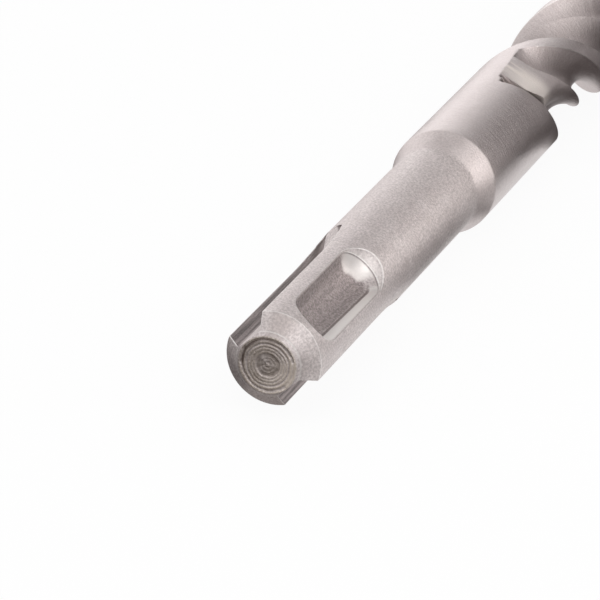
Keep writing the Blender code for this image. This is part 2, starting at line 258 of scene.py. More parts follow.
# Mats just over the table: two places along the bit, two across it, and the brightness.
MAT_HEIGHT = 0.0004
MATS = (
    ("dark_mat", (-0.012, 0.6), (-0.4, -0.013), (0.12, 0.11, 0.11)),
    ("dark_mat_shank", (-0.047, -0.021), (-0.05, -0.0065), (0.12, 0.11, 0.11)),
    ("dark_mat_neck", (-0.021, -0.012), (-0.05, -0.013), (0.12, 0.11, 0.11)),
    ("dark_mat_flutes", (0.002, 0.08), (-0.013, -0.0035), (0.07, 0.06, 0.06)),
    ("dark_mat_near", (-0.7, -0.0815), (-0.3, 0.5), (0.28, 0.27, 0.26)),
    ("dark_mat_left", (-0.0815, 0.1), (0.0045, 0.5), (0.12, 0.11, 0.11)),
    ("dark_mat_end", (-0.0815, -0.0765), (-0.004, 0.0045), (0.33, 0.31, 0.3)),
)


def twist(x):
    """Angle round the bit of section angle nought at x."""
    return NEAR_START - NEAR_EDGE_RUNOUT[0] + (360.0 / LEAD) * (x - FLUTE_START)


def resting_angle():
    """Angle round the bit of the plate's lower end once the bit has rolled onto the table."""
    half = PLATE_WIDTH / 2
    thick = PLATE_THICKNESS / 2
    leans = []
    for across, aside in ((half, -thick), (half - PLATE_SIDE_RELIEF, thick)):
        reach = math.hypot(across, aside)
        leans.append(math.atan2(aside, across) + math.acos(min(BODY_RADIUS / reach, 1.0)))
    return 270.0 + math.degrees(max(leans))


PLATE_ANGLE = twist((PLATE_FOOT + LENGTH) / 2) + PLATE_SECTION_ANGLE
ROLL = (resting_angle() - PLATE_ANGLE + 90.0) % 180.0 - 90.0


def in_frame(x, angle, radius):
    """Points of the row frame in metres from places along the bit, angles round it and radii.

    Across is the radius times the cosine of the angle, and height is the axis's height plus the
    radius times its sine.
    """
    turned = np.radians(angle + ROLL)
    across = radius * np.cos(turned)
    height = BODY_RADIUS + radius * np.sin(turned)
    return np.stack(np.broadcast_arrays(x - LENGTH / 2, across, height), axis=-1) * MM


def ease(share):
    """A smooth step from nought to one: three times the share's square less twice its cube."""
    share = np.clip(share, 0.0, 1.0)
    return share * share * (3.0 - 2.0 * share)


def rise(value, start, length):
    """A smooth step from nought to one that begins at a value and takes a length."""
    return ease((value - start) / length)


def settle(turned, full, start, length, power):
    """A value that leaves its start at once and settles on its full value after the turn given.

    What is left of the way is the share of the turn still to go, raised to the power.
    """
    left = np.clip(1.0 - np.maximum(turned, 0.0) / length, 0.0, 1.0)
    return full + (start - full) * left**power


# Fluted section


def flat_face(angle):
    """Radius of the flat that the tool first cuts, a plane square to one direction.

    It is the plane's distance over the cosine of the turn from that direction.
    """
    turned = np.radians(np.clip(angle - FLAT_ANGLE, -FLAT_REACH, FLAT_REACH))
    return np.minimum(FLAT_RADIUS / np.cos(turned), BODY_RADIUS)


def section_edges(angle):
    """Section angles and radii of a flute's six edges, from near to far, at an angle round the bit.

    Each edge settles from where the cutter first bites to its place in the full section. The two
    inner radii blend from the flat that the tool first cuts to the full depth.
    """
    near = angle - NEAR_START
    middle = angle - FLAT_START
    far = angle - FAR_START
    near_edge = settle(near, NEAR_EDGE_ANGLE, *NEAR_EDGE_RUNOUT)
    wall_foot = settle(near, WALL_FOOT_ANGLE, *WALL_FOOT_RUNOUT)
    wide_floor = settle(middle, WIDE_FLOOR_ANGLE, *WIDE_FLOOR_RUNOUT)
    rib = settle(far, RIB_ANGLE, *RIB_RUNOUT)
    narrow_floor = settle(far, NARROW_FLOOR_ANGLE, *NARROW_FLOOR_RUNOUT)
    sink = rise(angle, *FLAT_BLEND)
    wide_radius = flat_face(angle) * (1.0 - sink) + CORE_RADIUS * sink
    blend = rise(angle, *RIB_BLEND)
    rib_radius = flat_face(angle) * (1.0 - blend) + RIB_RADIUS * blend
    foot_radius = np.minimum(settle(near, CORE_RADIUS, *PLUNGE), wide_radius)
    narrow_radius = settle(far, CORE_RADIUS, *PLUNGE)
    blank = np.full_like(near_edge, BODY_RADIUS)
    wide_radius = np.where(middle <= 0.0, BODY_RADIUS, wide_radius)
    rib_radius = np.where(far <= 0.0, BODY_RADIUS, rib_radius)
    angles = (near_edge, wall_foot, wide_floor, rib, narrow_floor, np.zeros_like(near_edge))
    radii = (blank, foot_radius, wide_radius, rib_radius, narrow_radius, blank)
    return angles, radii


def flute_tracks():
    """For every column of a flute: its start angle, and tables of place, angle and radius along it.

    A column keeps one share of the way between two edges of the section. Its radius goes from
    edge to edge by a power of that share, and it moves along the bit by the lead times the turn
    between its angle round the bit and its section angle.
    """
    starts = (NEAR_START, NEAR_START, FLAT_START, FAR_START, FAR_START, FAR_START, FAR_START)
    last = twist(BODY_END) + NEAR_EDGE_ANGLE + 1.0
    tracks = []
    for part, count in enumerate(FLUTE_COLUMNS + (1,)):
        for step in range(count):
            share = step / count
            if part == 0:
                share = share**END_SPACING
            if part == 4:
                share = 1.0 - (1.0 - share) ** END_SPACING
            begin = starts[part] + (starts[part + 1] - starts[part]) * share
            angle = np.arange(begin, last, TURN_STEP)
            angles, radii = section_edges(angle)
            if part == len(FLUTE_COLUMNS):
                section, radius = angles[part], radii[part]
            else:
                rises = (
                    1.0 - (1.0 - share) ** WALL_POWER,
                    share,
                    share ** (1.0 + (FACET_POWER - 1.0) * rise(angle, *FLAT_BLEND)),
                    1.0 - (1.0 - share) ** RIB_FLANK_POWER,
                    share**WALL_POWER,
                )
                section = angles[part] + (angles[part + 1] - angles[part]) * share
                radius = radii[part] + (radii[part + 1] - radii[part]) * rises[part]
                if part == 0:
                    groove = ease((1.0 - share) / 0.2) * min(share / 0.8, 1.0)
                    left = 1.0 - rise(angle, NEAR_START, FOOT_GROOVE_TURN)
                    radius = radius - FOOT_GROOVE * groove * left
            turned = angle - section - NEAR_START + NEAR_EDGE_RUNOUT[0]
            place = FLUTE_START + turned / (360.0 / LEAD)
            tracks.append((begin, np.maximum.accumulate(place), angle, radius))
    return tracks


def flute_rings(x):
    """Angles and radii of half a turn of columns for rings at x.

    Columns that have started follow their flute, and the others spread evenly over what is left of
    the half turn, on the blank. No radius is larger than the tip cone's.
    """
    tracks = flute_tracks()
    count = len(tracks)
    angles = np.empty((len(x), HALF))
    radii = np.full((len(x), HALF), BODY_RADIUS)
    first_places = np.array([track[1][0] for track in tracks])
    for index, (begin, place, angle, radius) in enumerate(tracks):
        angles[:, index] = np.where(x > place[0], np.interp(x, place, angle), begin)
        sunk = np.interp(x, place, radius) - BODY_RADIUS
        ramp = rise(x, place[0], START_RAMP) if index < WALL_COLUMNS else 1.0
        radii[:, index] = BODY_RADIUS + sunk * ramp
    weights = np.ones(HALF)
    weights[[count - 1, HALF - 1]] = 0.25
    reached = np.concatenate([[0.0], np.cumsum(weights)])
    placed = np.minimum((x[:, None] > first_places).sum(axis=1), count - 1)
    anchor = angles[np.arange(len(x)), placed][:, None]
    span = anchor - (angles[:, :1] - 180.0)
    passed = reached[placed][:, None]
    spread = anchor - span * ((reached[:HALF] - passed) / (reached[-1] - passed))
    free = np.arange(HALF) > placed[:, None]
    angles = np.where(free, spread, angles)
    radii = np.where(free, BODY_RADIUS, radii)
    cone = TIP_FLAT_RADIUS + (BODY_END - x) * CONE_TAN
    return angles, np.minimum(radii, cone[:, None])


# Shank section


def slot_half(x, blank):
    """Half a slot's profile from its edge on the blank to its middle, as angles and radii.

    The floor is flat and rises in the run-out by the mill's circle. The flank leans out by the
    flare, and the loop settles where it meets the blank. Edge and corner are rounded, and a
    crevice follows the corner in the run-out.
    """
    along = np.maximum(x - SLOT_STRAIGHT, 0.0)
    centre = SLOT_FLOOR + MILL_RADIUS
    floor = centre - np.sqrt(np.maximum(MILL_RADIUS**2 - along**2, 1.0))
    edge = np.full_like(x, EDGE_GUESS_RADIANS)
    for _ in range(16):
        reach = np.hypot(along, centre - blank * np.cos(edge))
        wide = SLOT_HALF_WIDTH + SLOT_FLARE * (MILL_RADIUS - reach)
        edge = np.arcsin(np.clip(wide / blank, 0.0, 0.9))
    inside = np.hypot(SLOT_HALF_WIDTH, floor) < blank
    meets = np.arccos(np.clip(floor / blank, -1.0, 1.0))
    edge = np.where(inside, edge, meets)
    edge = np.maximum(edge, math.radians(SLOT_LEAST_ANGLE))
    rim = np.stack([blank * np.sin(edge), blank * np.cos(edge)], axis=-1)
    floor_end = np.stack([np.full_like(floor, SLOT_HALF_WIDTH), floor], axis=-1)
    corner = np.where(inside[:, None], floor_end, rim)
    flank = corner - rim
    length = np.maximum(np.linalg.norm(flank, axis=1), TINY)
    flank = flank / length[:, None]
    rounding = np.minimum(EDGE_ROUNDING, 0.3 * length)
    crevice = rise(x, *CREVICE_START) * (1.0 - rise(x, *CREVICE_END))
    fillet = np.maximum(np.minimum(CORNER_FILLET, 0.3 * length), CREVICE_WIDTH * crevice)
    outer_angle = edge + rounding / blank
    outer = np.stack([blank * np.sin(outer_angle), blank * np.cos(outer_angle)], axis=-1)
    upper = rim + flank * rounding[:, None]
    lower = corner - flank * fillet[:, None]
    inner = corner - np.stack([fillet, np.zeros_like(fillet)], axis=-1)
    points = [outer, 0.25 * outer + 0.5 * rim + 0.25 * upper, upper]
    for share in (0.25, 0.5, 0.75):
        points.append(upper + (lower - upper) * share)
    points += [lower, 0.25 * lower + 0.5 * corner + 0.25 * inner, inner]
    half_floor = SLOT_FLOOR_COLUMNS // 2
    high = np.maximum(np.where(inside | (floor < blank), floor, blank), 0.0)
    for step in range(1, half_floor + 1):
        wide = inner[:, 0] * (1.0 - step / half_floor)
        points.append(np.stack([wide, high], axis=-1))
    points = np.stack(points, axis=1)
    angle = np.degrees(np.arctan2(points[..., 0], points[..., 1]))
    radius = np.minimum(np.hypot(points[..., 0], points[..., 1]), blank[:, None])
    first = SLOT_FLANK_COLUMNS - 2
    radius[:, first:first + 3] -= CREVICE_DEPTH * crevice[:, None] * np.array(CREVICE_SHARES)
    return angle, radius


def shank_rings(x, blank):
    """Angles and radii of half a turn of columns for rings on the shank.

    From the pocket's window on: a land, the slot mirrored about its middle, a second land and the
    next window. Past the slots the columns spread evenly.
    """
    angle, radius = slot_half(x, blank)
    top = POCKET_ANGLE - WINDOW_HALF_ANGLE
    low = POCKET_ANGLE - 180.0 + WINDOW_HALF_ANGLE
    upper = SLOT_ANGLE + angle
    lower = SLOT_ANGLE - angle[:, ::-1]
    slot_angles = np.concatenate([upper, lower[:, 1:]], axis=1)
    slot_radii = np.concatenate([radius, radius[:, ::-1][:, 1:]], axis=1)
    one = np.linspace(0.0, 1.0, LAND_ONE + 1)[:-1]
    two = np.linspace(0.0, 1.0, LAND_TWO + 1)[1:]
    window = np.linspace(0.0, 1.0, WINDOW_COLUMNS + 1)[1:-1]
    land_one = top + (slot_angles[:, :1] - top) * one
    land_two = slot_angles[:, -1:] + (low - slot_angles[:, -1:]) * two
    across = np.repeat(low - 2.0 * WINDOW_HALF_ANGLE * window[None, :], len(x), axis=0)
    angles = np.concatenate([land_one, slot_angles, land_two, across], axis=1)
    full = np.repeat(blank[:, None], HALF, axis=1)
    full[:, LAND_ONE:LAND_ONE + slot_radii.shape[1]] = slot_radii
    even = top - 180.0 * np.arange(HALF) / HALF
    relax = rise(x, *SPREAD_OUT)[:, None]
    return angles * (1.0 - relax) + even * relax, full


def ring_places():
    """Where the rings stand along the bit: every turned edge, and more where the shape changes."""
    body_first = FLUTE_START + START_LENGTH
    body_last = PLATE_FOOT - 2.0
    spans = (
        (WINDOW_START, FIRST_BALL, 14), (FIRST_BALL, LAST_BALL, 24), (LAST_BALL, WINDOW_END, 18),
        (WINDOW_END, SLOT_END, 26), (SLOT_END, SHOULDER_START, 18), (CONE_START, CONE_END, 6),
        (NECK_START, FLUTE_START, 14), (body_first, 86.5, 66), (86.5, body_last, 96),
        (body_last, BLANK_END, 16),
    )
    places = [place for place, _ in BLANK_PROFILE]
    places += list(FLUTE_START + START_LENGTH * np.linspace(0.0, 1.0, 24) ** 1.7)
    for first, last, count in spans:
        places += list(np.linspace(first, last, count + 1))
    foot = BODY_END - (BODY_RADIUS - TIP_FLAT_RADIUS) / CONE_TAN
    places += [foot, foot + 0.06]
    places += list(np.linspace(foot + 0.2, BODY_END, 9))
    return np.unique(np.round(np.array(places), 6))


def grid_faces(rows, columns, keep=None):
    """Quads between neighbouring rows of points whose columns close round."""
    row = np.arange(rows - 1)[:, None]
    column = np.arange(columns)
    following = (column + 1) % columns
    first = row * columns + column
    second = row * columns + following
    third = (row + 1) * columns + following
    fourth = (row + 1) * columns + column
    quads = np.stack([first, second, third, fourth], axis=-1)
    if keep is not None:
        quads = quads[keep]
    return quads.reshape(-1, 4)


def blank_surface():
    """Points, finish marks and quads of the whole bit but its pockets: rings round the axis.

    Angles and radii are the shank's up to the neck and the flutes' from there. A mark grows from
    nought to one with the depth under the blank.
    """
    x = ring_places()
    blank = np.interp(x, *np.array(BLANK_PROFILE).T)
    shank_angles, shank_radii = shank_rings(x, blank)
    flute_angles, flute_radii = flute_rings(x)
    share = np.clip((x - NECK_START) / (FLUTE_START - NECK_START), 0.0, 1.0)[:, None]
    angles = shank_angles * (1.0 - share) + flute_angles * share
    radii = np.where(x[:, None] < MID_NECK, shank_radii, flute_radii)
    angles = np.concatenate([angles, angles - 180.0], axis=1)
    radii = np.concatenate([radii, radii], axis=1)
    points = in_frame(x[:, None], angles, radii)
    depth = blank[:, None] - radii
    sunk = BODY_RADIUS - radii
    column = np.arange(2 * HALF) % HALF
    on_flutes = x[:, None] > FLUTE_MARKS_START

    # Slots: dark flanks, partly their milled finish and partly painted shade; painted shade in the
    # run-out corners; bright edges, partly wear and partly painted glints
    from_edge = np.minimum(column - LAND_ONE, SLOT_LAST - column)
    milled = np.clip(depth / MILLED_DEPTH, 0.0, 1.0) * (x[:, None] < SHANK_MARKS_END)
    milled = milled * np.where(from_edge > SLOT_FLANK_COLUMNS, 0.1, 1.0)
    corner = (from_edge >= SLOT_FLANK_COLUMNS - 2) & (from_edge < SLOT_FLANK_COLUMNS)
    run_out = rise(x, *DARK_CORNER_START) * (1.0 - rise(x, *DARK_CORNER_END))
    corner_shade = corner * run_out[:, None]
    on_edge = (x[:, None] < SLOT_EDGE_END) & (depth > 0.005) & (from_edge == 1)
    edge = np.where(on_edge, 1.0, 0.0)
    for place, reach, brightness in TURNED_EDGES:
        on_edge = (np.abs(x - place) < reach)[:, None] & (depth < 0.01)
        edge = np.maximum(edge, np.where(on_edge, brightness, 0.0))

    # Flutes: painted shade on the floors and the near wall, painted light on the facet, and painted
    # glints on the land edges
    floor = np.clip((RIB_RADIUS - 0.1 - radii) / 1.4, 0.0, 1.0) * on_flutes
    cut = np.clip(sunk / CUT_DEPTH, 0.0, 1.0) * on_flutes
    fluted = np.clip(sunk / FLUTED_DEPTH, 0.0, 1.0) * on_flutes
    first_facet = sum(FLUTE_COLUMNS[:2])
    on_wall = (column > 0) & (column < first_facet)
    on_facet = (column >= first_facet) & (column <= first_facet + FLUTE_COLUMNS[2])
    near_wall_shade = 1.6 * cut * on_wall * (1.0 - rise(x, *NEAR_WALL_FADE))[:, None]
    # Painted light on the facet where the flutes start
    facet_light = cut * on_facet * (1.0 - rise(x, *FACET_LIGHT_FADE))[:, None]
    # Painted shade in the flutes' hollows and in the slots' run-out corners
    deep = np.maximum(np.maximum(0.4 * floor, near_wall_shade), corner_shade)
    on_land = (column == 0) | (column == sum(FLUTE_COLUMNS))
    # Painted glints along the land edges
    edge = np.maximum(edge, 0.6 * ((x[:, None] > LAND_EDGE_START) & on_land))

    in_window = (x[:-1] >= WINDOW_START - TINY) & (x[:-1] < WINDOW_END - TINY)
    cut_out = in_window[:, None] & (column >= WINDOW_FIRST)
    quads = grid_faces(len(x), 2 * HALF, keep=~cut_out)
    finish = {"milled": milled, "fluted": fluted, "edge": edge, "deep": deep, "facet_light": facet_light}
    finish["polished"] = np.zeros_like(milled)
    return x, angles, points, finish, quads


def uneven(turned, first, second):
    """A slow uneven wave round the bit between minus one and one: a sum of three sines."""
    slow = 0.5 * np.sin(turned + first) + 0.3 * np.sin(3.0 * turned + second)
    return slow + 0.2 * np.sin(8.0 * turned + first)


def face_rows(angles):
    """The end face from its edge to its middle: a rim, turned rings and a shallow dish with a nub.

    The depth is read from the face's profile at a radius that wobbles round the bit. It is then
    scaled by a second wave, deepened to one side in the outer groove, and chipped near the rim.
    """
    radius = (FACE_RADIUS * np.linspace(1.0, 0.0, FACE_ROWS)[1:])[:, None] * np.ones_like(angles)
    turned = np.radians(angles)
    wavy = radius + RING_WOBBLE * uneven(turned, 0.7, 2.0) * ease(radius)
    wavy += RING_RIPPLE * uneven(5.0 * turned, 1.0 + radius, 4.0)
    depth = np.interp(wavy, *np.array(FACE_PROFILE).T)
    depth *= 1.0 + UNEVEN_DEPTH * uneven(turned, 2.6 + 1.4 * radius, 1.0)
    to_side = np.cos(turned - math.radians(FACE_DEEP_ANGLE))
    depth *= 1.0 + DEEPER_SIDE * to_side * rise(radius, *OUTER_GROOVE)
    chipped = uneven(3.0 * turned, 0.4, 2.2) + 0.35 * uneven(11.0 * turned, 1.3, 0.2)
    depth += RIM_CHIPS * np.clip(chipped, 0.0, 1.0) * rise(radius, *CHIPPED_RIM)
    depth *= np.clip((FACE_RADIUS - radius) / 0.10, 0.0, 1.0)
    return in_frame(depth, angles, radius)


def tip_rows(angles):
    """The small flat in the middle of the blunt tip: circles that shrink to the axis."""
    share = np.linspace(1.0, 0.0, 5)[1:]
    return in_frame(BODY_END, angles, (TIP_FLAT_RADIUS * share)[:, None])


def pocket_height(reach, straight=0.0, foot_reach=STRIP_REACH[0]):
    """Height of the pocket's surface over the bit's axis at a distance from the ball's track.

    Inside the lip it is the ball's circle, the axis of the ball less the root of its radius
    squared less the distance squared, and outside a straight slope. Along one straight wall the
    bowl's upper part is a flat strip with a groove at its foot.
    """
    bowl = BALL_AXIS - np.sqrt(np.maximum(BALL_RADIUS**2 - reach**2, 0.0))
    foot = BALL_AXIS - np.sqrt(BALL_RADIUS**2 - foot_reach**2)
    strip = foot + (reach - foot_reach) * (LIP_HEIGHT - foot) / (LIP_REACH - foot_reach)
    groove = STRIP_GROOVE * np.maximum(1.0 - np.abs(reach - foot_reach + 0.15) / 0.3, 0.0)
    bowl = bowl + (np.where(reach > foot_reach, strip - bowl, 0.0) - groove) * straight
    lip = LIP_HEIGHT + (reach - LIP_REACH) * LIP_SLOPE
    return np.where(reach <= LIP_REACH, bowl, lip)


def pocket_rays(x, side):
    """Rays across the ball's track, as the track's place, the ray's turn and the border's place.

    They go along one straight wall, round the far end, back along the other and round the near
    end. Each ends at a point of the rings and columns round the window.
    """
    inner = x[(x > WINDOW_START - TINY) & (x < WINDOW_END + TINY)]
    straight = inner[(inner >= FIRST_BALL - TINY) & (inner <= LAST_BALL + TINY)]
    ahead = inner[inner > LAST_BALL + TINY]
    behind = inner[inner < FIRST_BALL - TINY]
    high = side[0]
    low = side[-1]
    front = [(along, high) for along in ahead] + [(WINDOW_END, angle) for angle in side[1:]]
    front += [(along, low) for along in ahead[::-1][1:]]
    back = [(along, low) for along in behind[::-1]]
    back += [(WINDOW_START, angle) for angle in side[::-1][1:]]
    back += [(along, high) for along in behind[1:]]
    rays = [(along, 0.0, along, high) for along in straight]
    for step, (along, angle) in enumerate(front, start=1):
        rays.append((LAST_BALL, math.pi * step / (len(front) + 1), along, angle))
    rays += [(along, math.pi, along, low) for along in straight[::-1]]
    for step, (along, angle) in enumerate(back, start=1):
        rays.append((FIRST_BALL, math.pi + math.pi * step / (len(back) + 1), along, angle))
    return np.array(rays).T


def rim_distance(swing):
    """Distance from the ball's track at which the lip meets the round shank, found by halving."""
    low = np.full_like(swing, LIP_REACH)
    high = np.full_like(swing, LIP_REACH + 1.2)
    for _ in range(30):
        guess = (low + high) / 2
        above = pocket_height(guess) > np.sqrt(SHANK_RADIUS**2 - (guess * np.cos(swing)) ** 2)
        high = np.where(above, guess, high)
        low = np.where(above, low, guess)
    return (low + high) / 2


def pocket_patch(x, border_angle):
    """A pocket with the blank round it, as rows from the track's middle out to the border.

    Each column is a ray across the track. A point on it lies at its distance along the ray and at
    the pocket's height there, and past the rim it runs on the shank to the border's point.
    """
    half = WINDOW_COLUMNS // 2
    centre, swing, edge_x, edge_angle = pocket_rays(x, border_angle - border_angle[half])
    rim_reach = rim_distance(swing)
    along_share = (centre - FIRST_BALL) / (LAST_BALL - FIRST_BALL)
    foot_reach = STRIP_REACH[0] + (STRIP_REACH[1] - STRIP_REACH[0]) * along_share
    strip_share = foot_reach / LIP_REACH
    shares = list(BOWL_SHARES)
    shares += [strip_share + step for step in STRIP_FOOT_STEPS]
    shares += [strip_share + (1.0 - strip_share) * share for share in STRIP_SHARES]
    straightness = np.clip((np.cos(swing) - 0.75) / 0.25, 0.0, 1.0)
    far_end = ease(np.sin(swing) * (centre > FIRST_BALL + 1.0) * 2.0)
    lit_end = far_end * (1.0 - rise(np.cos(swing), 0.25, 0.4))
    rows = []
    marks = {"milled": [], "edge": [], "polished": [], "deep": []}

    def place(along, angle, radius, **values):
        """A row of points, with those marks that are not nought."""
        rows.append((along, angle, radius))
        for name, collected in marks.items():
            collected.append(np.zeros_like(centre) + values.get(name, 0.0))

    def row(reach, height, **values):
        """A row at a distance from the track and a height over the bit's axis."""
        across = reach * np.cos(swing)
        angle = np.degrees(np.arctan2(across, height))
        place(centre + reach * np.sin(swing), angle, np.hypot(across, height), **values)

    for index, share in enumerate(shares):
        reach = LIP_REACH * share
        on_strip = straightness * (share > strip_share)
        # Painted shade in the groove at the strip's foot, and a painted highlight line just before
        # it
        in_groove = straightness * (np.abs(share - strip_share + 0.055) < 0.03)
        before_groove = straightness * (np.abs(share - strip_share + 0.1) < 0.02)
        # Painted sheen on the lit far end of the bowl and on the strip
        polished = lit_end * BOWL_POLISH_AND_SHEEN[min(index, len(BOWL_POLISH_AND_SHEEN) - 1)]
        # The floor's dark is partly its rough milled finish and partly painted shade, left off on
        # the strip and on the lit far end
        dark = 0.8 * (1.0 - on_strip) * (1.0 - polished) * (1.0 - 0.6 * far_end * (index > 4))
        dark = dark * (1.0 - 0.4 * before_groove)
        shine = np.maximum(polished, on_strip)
        height = pocket_height(reach, straightness, foot_reach)
        # The strip is painted lighter through the edge mark
        row(reach, height, milled=dark, edge=0.7 * on_strip, polished=shine, deep=in_groove)
    width = rim_reach - LIP_REACH
    small = np.minimum(LIP_ROUNDING, 0.3 * width)
    sheen = 0.4 * far_end
    # At the far end the lip gets a painted dark line, a painted bright line beside it and painted
    # sheen on the slope above
    row(LIP_REACH - small * 0.3, pocket_height(LIP_REACH - small * 0.3), milled=far_end)
    row(LIP_REACH + small * 0.3, pocket_height(LIP_REACH + small * 0.6), edge=0.9 * far_end)
    row(LIP_REACH + small, pocket_height(LIP_REACH + small), polished=sheen)
    for share in (0.35, 0.65):
        reach = LIP_REACH + small + (width - 2 * small) * share
        row(reach, pocket_height(reach), polished=sheen)
    # The rim: a slight darkening, then a bright line, partly a burr and partly a painted glint
    row(rim_reach - small, pocket_height(rim_reach - small), milled=0.2)
    rim_height = pocket_height(rim_reach)
    row(rim_reach + small * 0.1, rim_height - small * 0.12, milled=0.2, edge=0.8)
    last = rim_reach + small
    row(last, np.sqrt(SHANK_RADIUS**2 - (last * np.cos(swing)) ** 2))
    rim_along, rim_angle, _ = rows[-1]
    for share in BORDER_SHARES:
        along = rim_along + (edge_x - rim_along) * share
        angle = rim_angle + (edge_angle - rim_angle) * share
        place(along, angle, np.full_like(along, SHANK_RADIUS))
    along, angle, radius = (np.stack([line[part] for line in rows]) for part in range(3))
    points = in_frame(along, angle + border_angle[half], radius)
    finish = {name: np.stack(collected) for name, collected in marks.items()}
    return points, finish, grid_faces(len(rows), len(centre))


def link(name, data):
    """A new object in the scene."""
    made = bpy.data.objects.new(name, data)
    bpy.context.scene.collection.objects.link(made)
    return made


def mesh_object(name, points, quads, marks):
    """A closed mesh object from points in metres, quads and named marks per point.

    Points that fall together are merged.
    """
    data = bpy.data.meshes.new(name)
    data.vertices.add(len(points))
    data.vertices.foreach_set("co", points.astype(np.float32).ravel())
    data.loops.add(quads.size)
    data.loops.foreach_set("vertex_index", quads.astype(np.int32).ravel())
    data.polygons.add(len(quads))
    data.polygons.foreach_set("loop_start", np.arange(0, quads.size, 4, dtype=np.int32))
    data.update(calc_edges=True)
    for mark, values in marks.items():
        layer = data.attributes.new(mark, "FLOAT", "POINT")
        layer.data.foreach_set("value", values.astype(np.float32))
    shape = bmesh.new()
    shape.from_mesh(data)
    bmesh.ops.remove_doubles(shape, verts=shape.verts, dist=MERGE_DISTANCE * MM)
    bmesh.ops.recalc_face_normals(shape, faces=shape.faces)
    shape.to_mesh(data)
    shape.free()
    made = link(name, data)
    data.shade_smooth()
    return made


def steel_body():
    """The steel body's whole surface: the ring surface, its two ends and the two pocket patches."""
    x, angles, points, main_marks, quads = blank_surface()
    count = 2 * HALF
    parts = [(points, main_marks, quads)]
    for ring, rows in ((points[:1], face_rows(angles[0])), (points[-1:], tip_rows(angles[-1]))):
        end = np.concatenate([ring, rows])
        depth = end[..., 0] / MM + LENGTH / 2
        # The end face's sunk rings get painted shade
        sunk = np.clip((depth - FACE_SUNK[0]) / FACE_SUNK[1], 0.0, 1.0) * (end[..., 0] < 0.0)
        parts.append((end, {"deep": sunk}, grid_faces(len(end), count)))
    for first in (WINDOW_FIRST, WINDOW_FIRST + HALF):
        border = angles[:, np.arange(first, first + WINDOW_COLUMNS + 1) % count][0].copy()
        if border[-1] > border[0]:
            border[-1] -= 360.0
        parts.append(pocket_patch(x, border))
    marks = {name: [] for name in main_marks}
    faces = []
    total = 0
    for part, values, part_quads in parts:
        size = part.size // 3
        for name, collected in marks.items():
            collected.append(values[name].ravel() if name in values else np.zeros(size))
        faces.append(part_quads + total)
        total += size
    joined = {name: np.concatenate(collected) for name, collected in marks.items()}
    all_points = np.concatenate([part.reshape(-1, 3) for part, _, _ in parts])
    return mesh_object("steel_body_finish", all_points, np.concatenate(faces), joined)


def box_mesh(name, rings):
    """A closed prism from two outlines of the same count, placed in the turned tip."""
    shape = bmesh.new()
    first, second = ([shape.verts.new(point) for point in ring] for ring in rings)
    for index in range(len(first)):
        after = (index + 1) % len(first)
        shape.faces.new((first[index], first[after], second[after], second[index]))
    shape.faces.new(reversed(first))
    shape.faces.new(second)
    bmesh.ops.recalc_face_normals(shape, faces=shape.faces)
    data = bpy.data.meshes.new(name)
    shape.to_mesh(data)
    shape.free()
    made = link(name, data)
    onto_axis = Matrix.Translation((-LENGTH / 2 * MM, 0.0, BODY_RADIUS * MM))
    data.transform(Matrix.Scale(MM, 4))
    data.transform(onto_axis @ Matrix.Rotation(math.radians(PLATE_ANGLE + ROLL), 4, "X"))
    return made


def plate_outlines():
    """The two broad faces of the hard plate.

    Its point and both its ends are relieved behind the cutting edges.
    """
    half = PLATE_WIDTH / 2
    thick = PLATE_THICKNESS / 2
    corner = LENGTH - half / math.tan(math.radians(PLATE_POINT_ANGLE))
    relief = PLATE_THICKNESS * math.tan(math.radians(PLATE_RELIEF_ANGLE))
    ahead = (corner, half)
    behind = (corner - relief, half - PLATE_SIDE_RELIEF)
    rings = []
    for height, (right, wide), (left, broad) in ((-thick, behind, ahead), (thick, ahead, behind)):
        outline = (
            (PLATE_FOOT, -broad + PLATE_CORNER), (PLATE_FOOT, wide - PLATE_CORNER),
            (PLATE_FOOT + PLATE_CORNER, wide), (right - PLATE_CORNER, wide),
            (right, wide - PLATE_CORNER), (LENGTH, 0.0), (left, -broad + PLATE_CORNER),
            (left - PLATE_CORNER, -broad), (PLATE_FOOT + PLATE_CORNER, -broad),
        )
        rings.append([Vector((along, across, height)) for along, across in outline])
    return rings


def apply_modifiers(piece):
    """Replaces the piece's mesh by what its modifiers make of it."""
    bpy.context.view_layer.update()
    shown = piece.evaluated_get(bpy.context.evaluated_depsgraph_get())
    made = bpy.data.meshes.new_from_object(shown)
    piece.modifiers.clear()
    piece.data = made


def hard_plate():
    """The hard plate with fine broken edges."""
    made = box_mesh("carbide_plate_finish", plate_outlines())
    bevel = made.modifiers.new("broken_edges", "BEVEL")
    bevel.width = PLATE_BROKEN_EDGE * MM
    bevel.segments = 2
    bevel.limit_method = "ANGLE"
    bevel.angle_limit = math.radians(PLATE_EDGE_ANGLE)
    apply_modifiers(made)
    return made


def cut_seat(body):
    """Cuts the slot for the plate across the tip."""
    thick = PLATE_THICKNESS / 2 + BRAZE_GAP
    wide = PLATE_WIDTH
    corners = ((-wide, -thick), (wide, -thick), (wide, thick), (-wide, thick))
    ends = (PLATE_FOOT - BRAZE_GAP, LENGTH + SEAT_OVERRUN)
    cutter = box_mesh("seat", [[Vector((x, *corner)) for corner in corners] for x in ends])
    step = body.modifiers.new("seat", "BOOLEAN")
    step.operation = "DIFFERENCE"
    step.solver = "EXACT"
    step.object = cutter
    apply_modifiers(body)
    bpy.data.objects.remove(cutter)
    body.data.set_sharp_from_angle(angle=math.radians(SHARP_ANGLE))


# Finishes


